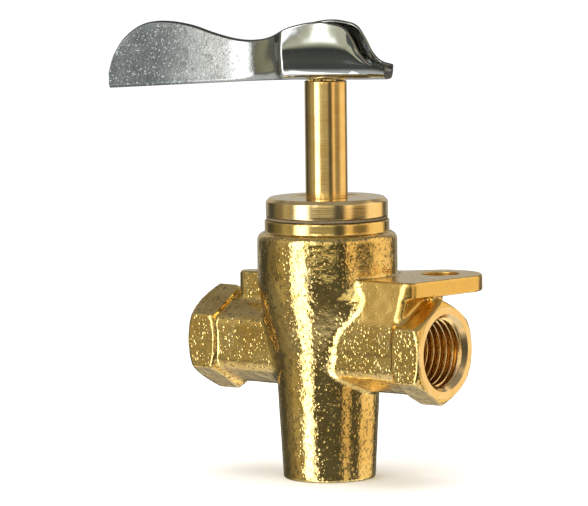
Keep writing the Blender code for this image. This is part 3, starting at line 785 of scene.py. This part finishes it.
def plug_field(x, y, z):
    """The tapered plug with its flow hole, two ring grooves, a slot and a pin hole."""
    across, along = turned_plan(x, y, LEVER_ANGLE)
    r = np.hypot(x, y)
    wall = SEAT_RADIUS + SEAT_SLOPE * (z - SEAT_LOW) - 0.3
    solid = common(r - wall, np.abs(z - 21.05) - 13.45, 0.25)
    grooves = np.minimum(np.abs(z - 12.0), np.abs(z - 29.9)) - 1.0
    grooves = np.maximum(grooves, wall - 1.6 - r)
    flow = np.hypot(along, z - 24.9) - FLOW_RADIUS
    slot = np.maximum(np.abs(along) - 1.7, 31.3 - z)
    pin = np.hypot(across, z - 33.1) - 1.2
    return common(solid, -np.minimum(np.minimum(grooves, flow), np.minimum(slot, pin)), 0.12)


def taper_plug(material):
    """The plug's skin."""
    points, quads, normals = net(plug_field, (-8.6, -8.6, 7.0), (8.6, 8.6, 35.1), 0.3)
    return add_piece(
        "plug_cone", points, quads, material, "handle", ("taper_plug",), None, normals,
    )


def screw_field(x, y, z):
    """The pan-head screw: a crowned head with a slot, and a shank with a soft tip."""
    r = np.hypot(x, y)
    seat = 77.4
    crown = common(r - 2.9, np.hypot(r, z - (seat - 2.6)) - 4.6, 0.35)
    head = np.maximum(crown, seat - z)
    shank = common(r - 1.5, 69.8 - z, 0.4)
    shank = np.maximum(shank, z - seat - 0.5)
    slot = np.maximum(np.abs(y) - 0.45, seat + 1.0 - z)
    return common(np.minimum(head, shank), -slot, 0.08)


def lever_screw(material):
    """The screw's skin."""
    points, quads, normals = net(screw_field, (-3.3, -3.3, 69.4), (3.3, 3.3, 79.9), 0.14)
    return add_piece(
        "hub_screw", points, quads, material, "handle", ("lever_screw",), None, normals,
    )


def flat_ring(name, node, material, body, edge):
    """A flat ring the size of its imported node, with softened edges."""
    low, high = (np.array(corner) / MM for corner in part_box(node))
    inner = ring_bore(node)
    profile = [(inner, low[2]), (high[0], low[2]), (high[0], high[2]), (inner, high[2])]
    points, quads = turned(dense(rounded(profile, [edge] * 4, 4), 0.5), 128)
    return add_piece(name, points, quads, material, body, (node,))


def ring_bore(node):
    """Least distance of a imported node's points from the stem's axis, in millimetres."""
    points = np.array([v.co[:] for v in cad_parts[node].data.vertices]) / MM
    return float(np.hypot(points[:, 0], points[:, 1]).min())


def seal_ring(name, node, material, body):
    """An O-ring: a circle carried round the stem's axis."""
    low, high = (np.array(corner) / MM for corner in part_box(node))
    wire = (high[2] - low[2]) / 2
    middle = high[0] - wire
    turn = np.arange(20) * TAU / 20
    profile = np.stack([middle + wire * np.cos(turn), (low[2] + high[2]) / 2 + wire * np.sin(turn)], 1)
    points, quads = turned(profile, 96)
    return add_piece(name, points, quads, material, body, (node,))


def round_pin(name, node, radius, heading, centre, half, material, body):
    """A pin along a heading: a rounded rectangle turned round it, closed at both ends."""
    corners = [(0.0, -half), (radius, -half), (radius, half), (0.0, half)]
    profile = rounded(corners, [0, 0.15, 0.15, 0], 4)[1:-1]
    sides = 32
    angle = np.arange(sides) * TAU / sides
    radius_at, along = profile[:, 0][:, None], profile[:, 1][:, None]
    heading = np.array(heading, float)
    one = np.cross(heading, (0.0, 0.0, 1.0)) if abs(heading[2]) < 0.9 else np.array((1.0, 0.0, 0.0))
    other = np.cross(heading, one)
    points = (
        np.array(centre)
        + along[..., None] * heading
        + (radius_at * np.cos(angle))[..., None] * one
        + (radius_at * np.sin(angle))[..., None] * other
    )
    end = np.arange(sides)
    quads = np.concatenate([
        grid_faces(len(profile), sides, False, True)[:, ::-1],
        fan(end[::-1]), fan(end + (len(profile) - 1) * sides),
    ])
    return add_piece(name, points.reshape(-1, 3), quads, material, body, (node,))


def load_spring(material):
    """The coil spring: a circle carried along a helix, and drawn to a point at both ends."""
    low, high = (np.array(corner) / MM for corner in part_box("load_spring"))
    wire, radius, turns = 0.6, 6.5, 3.5
    rows, sides = 240, 16
    share = np.linspace(0.0, 1.0, rows)
    angle = TAU * turns * share
    height = low[2] + wire + (high[2] - low[2] - 2 * wire) * share
    centre = np.stack([radius * np.cos(angle), radius * np.sin(angle), height], 1)
    outward = np.stack([np.cos(angle), np.sin(angle), np.zeros_like(angle)], 1)
    around = np.arange(sides) * TAU / sides
    thickness = np.full(rows, wire)
    thickness[[0, -1]] *= 0.02
    ring = outward[:, None, :] * np.cos(around)[None, :, None]
    ring = ring + np.array((0.0, 0.0, 1.0)) * np.sin(around)[None, :, None]
    points = centre[:, None, :] + ring * thickness[:, None, None]
    end = np.arange(sides)
    quads = np.concatenate([
        grid_faces(rows, sides, False, True), fan(end), fan(end[::-1] + (rows - 1) * sides),
    ])
    return add_piece(
        "coil_spring", points.reshape(-1, 3), quads, material, "valve", ("load_spring",),
    )


def fan(ring):
    """A closed ring of point numbers filled with a strip of quads from side to side."""
    half = len(ring) // 2
    one, other = ring[:half], ring[half:][::-1]
    return np.stack([one[:-1], one[1:], other[1:], other[:-1]], 1)


# ---------------------------------------------------------------- lever

LEVER_BOTTOM = 75.4
LEVER_SHEET = 0.95
CROWN_POINTS = 8
LEVER_OUTLINE = np.array((
    (-42.2, 3.4), (-41.3, 6.2), (-39.0, 9.5), (-35.4, 11.8), (-31.5, 12.2), (-26.2, 11.2),
    (-21.5, 9.4), (-17.3, 8.1), (-14.0, 7.7), (-10.0, 8.2), (-5.3, 10.0), (-0.5, 10.9),
    (3.2, 10.5), (5.2, 9.6), (6.6, 7.5), (7.9, 5.0), (9.6, 3.3), (12.2, 2.6),
))


def outline_height(place):
    """Height of the lever's top edge over its fold: a cubic through the outline's points."""
    x, y = LEVER_OUTLINE.T
    steep = np.gradient(y, x)
    steep[1:-1] = (y[2:] - y[:-2]) / (x[2:] - x[:-2])
    at = np.clip(np.searchsorted(x, place, "right") - 1, 0, len(x) - 2)
    width = x[at + 1] - x[at]
    t = np.clip((place - x[at]) / width, 0.0, 1.0)
    ends = (2 * t**3 - 3 * t**2 + 1) * y[at] + (3 * t**2 - 2 * t**3) * y[at + 1]
    return ends + ((t**3 - 2 * t**2 + t) * steep[at] + (t**3 - t**2) * steep[at + 1]) * width


def half_width(place):
    """Half of the channel's width: a pressed blade, an open hub and a narrowing tail."""
    share = np.clip((place + 19.5) / 12.5, 0.0, 1.1)
    opening = share ** 2 - np.maximum(share - 0.96, 0.0) ** 2 * 7.3
    wide = 1.15 + 4.35 * np.where(share > 1.0, 1.0, np.minimum(opening, 1.0))
    bulge = np.clip(1.0 - ((place + 5.0) / 11.0) ** 2, 0.0, 1.0) * smooth((place + 9.0) / 2.0)
    wide = wide + 0.45 * bulge
    return wide - 1.9 * smooth((place - 6.0) / 7.2) ** 2


def lever_sections(place):
    """The channel's outline across the lever at each place along it.

    From one top edge the outer wall runs down with a slight belly, round the fold, across
    the flat and up the other side.  The inner wall comes back the same way, a sheet's
    thickness inside, and its floor rises to the top where the blade is pressed shut.
    """
    half, top = half_width(place)[:, None], outline_height(place)[:, None]
    fold = np.minimum(2.0 + 0.8 * smooth((half - 3.0) / 2.0), half * 0.9)
    sheet = np.minimum(LEVER_SHEET, half * 0.82)
    inner = half - sheet
    pressed = 1.0 - smooth((place + 19.0) / 8.0)[:, None]
    floor = LEVER_SHEET + (top - 0.35 - LEVER_SHEET) * pressed
    inner_fold = np.minimum(np.minimum(1.05, inner * 0.8), (top - floor) * 0.8)
    down = np.linspace(1.0, 0.0, 12)[None, :-1]
    quarter = np.linspace(0.0, math.pi / 2, 10)[None, :]
    belly = 0.55 * smooth((half - 2.0) / 3.5)
    lip = np.linspace(0.0, math.pi, CROWN_POINTS + 2)[None, :]
    edge = sheet / 2
    crown_x = half - edge - edge * np.cos(lip)
    crown_y = top - edge + edge * np.sin(lip)
    wall = top - edge - fold
    wall_x = half + belly * np.sin(math.pi * down) * np.clip(wall / 6.0, 0.0, 1.0)
    wall_y = fold + wall * down
    fold_x = half - fold + fold * np.cos(quarter)
    fold_y = fold - fold * np.sin(quarter)
    inner_wall = top - edge - floor - inner_fold
    back_x = inner + belly * np.sin(math.pi * down) * np.clip(wall / 6.0, 0.0, 1.0)
    back_y = floor + inner_fold + np.maximum(inner_wall, 0.03) * down
    curl_x = inner - inner_fold + inner_fold * np.cos(quarter)
    curl_y = floor + inner_fold - inner_fold * np.sin(quarter)
    outer = np.concatenate([paired(wall_x, wall_y), paired(fold_x, fold_y)], 1)
    inside = np.concatenate([paired(back_x, back_y), paired(curl_x, curl_y)], 1)
    crown = paired(crown_x, crown_y)[:, 1:-1]
    mirror = np.array((-1.0, 1.0))
    far = [outer[:, ::-1] * mirror, crown[:, ::-1] * mirror, inside * mirror]
    return np.concatenate([outer, *far, inside[:, ::-1], crown], 1)


def paired(across, up):
    """Two arrays of coordinates as one array of points."""
    return np.stack(np.broadcast_arrays(across, up), 2)


def lever_droop(place):
    """How far the fold hangs below the hub's level along the paddle."""
    return 0.05 * np.maximum(-5.5 - place, 0.0)


def lever(material):
    """The lever: its sections carried along it, closed at both ends, then marked for finish, painted
    shade and a painted dark top edge.
    """
    first, last = LEVER_OUTLINE[0, 0], LEVER_OUTLINE[-1, 0]
    place = np.concatenate([
        first + 4.0 * np.linspace(0.0, 1.0, 36)[:-1] ** 1.6,
        np.linspace(first + 4.0, last, 210),
    ])
    sections = lever_sections(place)
    rows, columns = sections.shape[:2]
    along = np.broadcast_to(place[:, None], (rows, columns))
    height = sections[..., 1] + LEVER_BOTTOM - lever_droop(place)[:, None]
    points = np.stack([along, sections[..., 0], height], 2).reshape(-1, 3)
    quads = grid_faces(rows, columns, False, True)
    cap = fan(np.roll(np.arange(columns), CROWN_POINTS // 2))
    quads = np.concatenate([quads, cap, cap[:, ::-1] + (rows - 1) * columns])
    turn = np.array([[math.cos(LEVER_ANGLE), math.sin(LEVER_ANGLE)],
                     [-math.sin(LEVER_ANGLE), math.cos(LEVER_ANGLE)]])
    along = points[:, 0].copy()
    above = points[:, 2] - (outline_height(along) + LEVER_BOTTOM - lever_droop(along))
    points[:, :2] = points[:, :2] @ turn
    marks = {
        "satin": 1.0 - smooth((along + 20.0) / 10.0),
        # Painted shade along the paddle: 0 at its free end, rising towards the hub.
        "rubbed": smooth((along + 36.0) / 18.0),
        # Painted dark reflection: the last 0.35 mm below the top edge, and the tail's end.
        "cut_edge": smooth((above + 0.35) / 0.25) * smooth(along + 42.0)
        + smooth((along - 12.0) / 0.2),
    }
    return add_piece(
        "folded_lever", points, quads, material, "handle", ("lever",), marks,
    )


# ---------------------------------------------------------------- stage

def floor():
    """A wide pale disc of rings, which turns to plain white far from the valve."""
    count = 96
    rings = np.array((0.05, 0.2, 0.6, 2.0, 6.0, 14.0))[:, None]
    angle = np.arange(count) * TAU / count
    points = np.stack([rings * np.cos(angle), rings * np.sin(angle), rings * 0.0 * angle], 2)
    inner = fan(np.arange(count)[::-1])
    quads = np.concatenate([grid_faces(len(rings), count, False, True)[:, ::-1], inner])
    mesh = bpy.data.meshes.new("floor")
    mesh.from_pydata(points.reshape(-1, 3).tolist(), [], quads.tolist())
    look = Finish("pale_floor", 0.0, 0.9, (0.93, 0.93, 0.92))
    parts = add_node(look.tree, "ShaderNodeSeparateXYZ", None, {"Vector": look.place})
    x, y = (Value(look.tree, parts.outputs[k]) for k in (0, 1))
    far = (x * x + y * y).math("SQRT").between(0.12, 0.75)
    look.set("Base Color", mixed(far, (0.93, 0.93, 0.92), (0.0, 0.0, 0.0), look.tree))
    look.set("Emission Color", mixed(far, (0.0, 0.0, 0.0), (1.0, 1.0, 1.0), look.tree))
    look.set("Emission Strength", 1.0)
    look.set("Roughness", 0.85 + look.noise(400.0, 2.0, 0.5) * 0.1)
    mesh.materials.append(look.material)
    ground = bpy.data.objects.new("floor", mesh)
    bpy.context.scene.collection.objects.link(ground)
    ground.visible_glossy = False


# Panels of light seen from the valve: azimuth from the front of the view, positive to the
# right, and half widths, softness, low and high elevation in degrees, strength, colour
PANELS = (
    (-50.0, 12.5, 8.0, -70.0, 45.0, 4.2, (1.0, 1.0, 0.98)),
    (-24.0, 3.5, 4.0, 4.0, 60.0, 3.0, (1.0, 1.0, 0.98)),
    (-80.0, 12.0, 10.0, -22.0, 40.0, 0.27, (1.0, 0.87, 0.47)),
    (180.0, 34.0, 20.0, -8.0, 34.0, 0.40, (1.0, 0.96, 0.86)),
    (-96.0, 20.0, 16.0, -50.0, 50.0, 0.15, (1.0, 0.88, 0.60)),
    (-11.0, 23.0, 8.0, -4.0, 40.0, 0.85, (1.0, 0.94, 0.66)),
    (56.0, 24.0, 10.0, -4.0, 40.0, 0.6, (1.0, 0.78, 0.46)),
    (41.0, 7.0, 6.0, -50.0, 25.0, 0.78, (1.0, 0.76, 0.45)),
    (104.0, 24.0, 14.0, -50.0, 45.0, 1.1, (1.0, 0.80, 0.50)),
)


def studio():
    """The world: white behind everything, and panels of light mirrored by the metal."""
    world = bpy.data.worlds.new("studio")
    bpy.context.scene.world = world
    world.use_nodes = True
    tree = world.node_tree
    direction = Value(tree, add_node(tree, "ShaderNodeTexCoord").outputs["Generated"])
    parts = add_node(tree, "ShaderNodeSeparateXYZ", None, {"Vector": direction})
    x, y, z = (Value(tree, socket) for socket in parts.outputs)
    front = x * math.sin(VIEW_AZIMUTH) - y * math.cos(VIEW_AZIMUTH)
    side = x * math.cos(VIEW_AZIMUTH) + y * math.sin(VIEW_AZIMUTH)
    bearing = side.math("ARCTAN2", front) * (180.0 / math.pi)
    rise = z.math("ARCSINE") * (180.0 / math.pi)
    light = None
    for centre, half, soft, low, high, strength, colour in PANELS:
        away = ((bearing - centre + 540.0).math("FLOORED_MODULO", 360.0) - 180.0).math("ABSOLUTE")
        panel = 1.0 - away.between(half - soft / 2, half + soft / 2)
        panel = panel * rise.between(low - 6.0, low + 6.0)
        panel = panel * (1.0 - rise.between(high - 6.0, high + 6.0))
        shade = mixed(panel, (0.0, 0.0, 0.0), tuple(c * strength for c in colour), tree)
        light = shade if light is None else added(light, shade, tree)
    fill = ramp(
        z * 0.5 + 0.5, (0.0, (1.0, 1.0, 1.0)), (0.10, (0.90, 0.89, 0.86)), (0.26, (0.15, 0.15, 0.13)),
        (0.46, (0.065, 0.07, 0.065)), (0.56, (0.10, 0.105, 0.10)), (1.0, (0.35, 0.35, 0.35)),
    )
    light = added(light, fill, tree)
    plain = Value(tree, add_node(tree, "ShaderNodeLightPath").outputs["Is Camera Ray"])
    seen = mixed(plain, light, (1.0, 1.0, 1.0), tree)
    feed(tree, tree.nodes["Background"].inputs["Color"], seen)


def overhead_light():
    """A wide soft light above, which keeps the floor pale."""
    data = bpy.data.lights.new("overhead", "AREA")
    data.shape = "DISK"
    data.size = 2.4
    data.energy = 46.0
    lamp = bpy.data.objects.new("overhead", data)
    lamp.location = (0.0, 0.0, 1.8)
    lamp.visible_glossy = False
    lamp.visible_camera = False
    bpy.context.scene.collection.objects.link(lamp)


# ---------------------------------------------------------------- the valve

def build():
    """Every piece of the valve with its finish."""
    forged = forged_brass()
    gold = (0.84, 0.61, 0.27)
    turned_look = turned_brass("turned_brass", gold, "Z", 0.010, 0.15)
    cap_look = turned_brass("faced_brass", (0.87, 0.67, 0.35), "Z", 0.014, 0.12)
    steel, rubber, fibre, plated = zinc_steel(), seal_rubber(), gasket_fibre(), plated_sheet()
    valve_body(forged)
    thread_look = turned_brass("cut_thread", (0.86, 0.66, 0.36), "X", 0.006, 0.12)
    port_thread("right_port_thread", 1, thread_look)
    port_thread("left_port_thread", -1, thread_look)
    bonnet_cap(cap_look)
    drive_stem(turned_look)
    taper_plug(turned_look)
    lever(plated)
    lever_screw(steel)
    flat_ring("cap_seal_sheet", "cap_gasket", fibre, "valve", 0.08)
    flat_ring("hub_lock_washer", "lever_lock_washer", steel, "handle", 0.12)
    flat_ring("spring_washer_low", "spring_seat_washer", steel, "handle", 0.12)
    flat_ring("spring_washer_high", "spring_thrust_washer", steel, "valve", 0.12)
    seal_ring("plug_seal_low", "plug_o_ring_lower", rubber, "handle")
    seal_ring("plug_seal_high", "plug_o_ring_upper", rubber, "handle")
    seal_ring("stem_seal_low", "stem_o_ring_lower", rubber, "valve")
    seal_ring("stem_seal_high", "stem_o_ring_upper", rubber, "valve")
    heading = (-math.sin(LEVER_ANGLE), math.cos(LEVER_ANGLE), 0.0)
    round_pin("cross_pin", "stem_cross_pin", 0.9, heading, (0.0, 0.0, 33.1), 7.0, steel, "handle")
    round_pin("turn_stop", "stop_pin", 0.8, (0.0, 0.0, 1.0), (-8.15, 0.0, 35.3), 0.55, steel, "valve")
    load_spring(steel)


camera()
build()
studio()
overhead_light()
floor()
bpy.context.scene.view_settings.view_transform = "Standard"
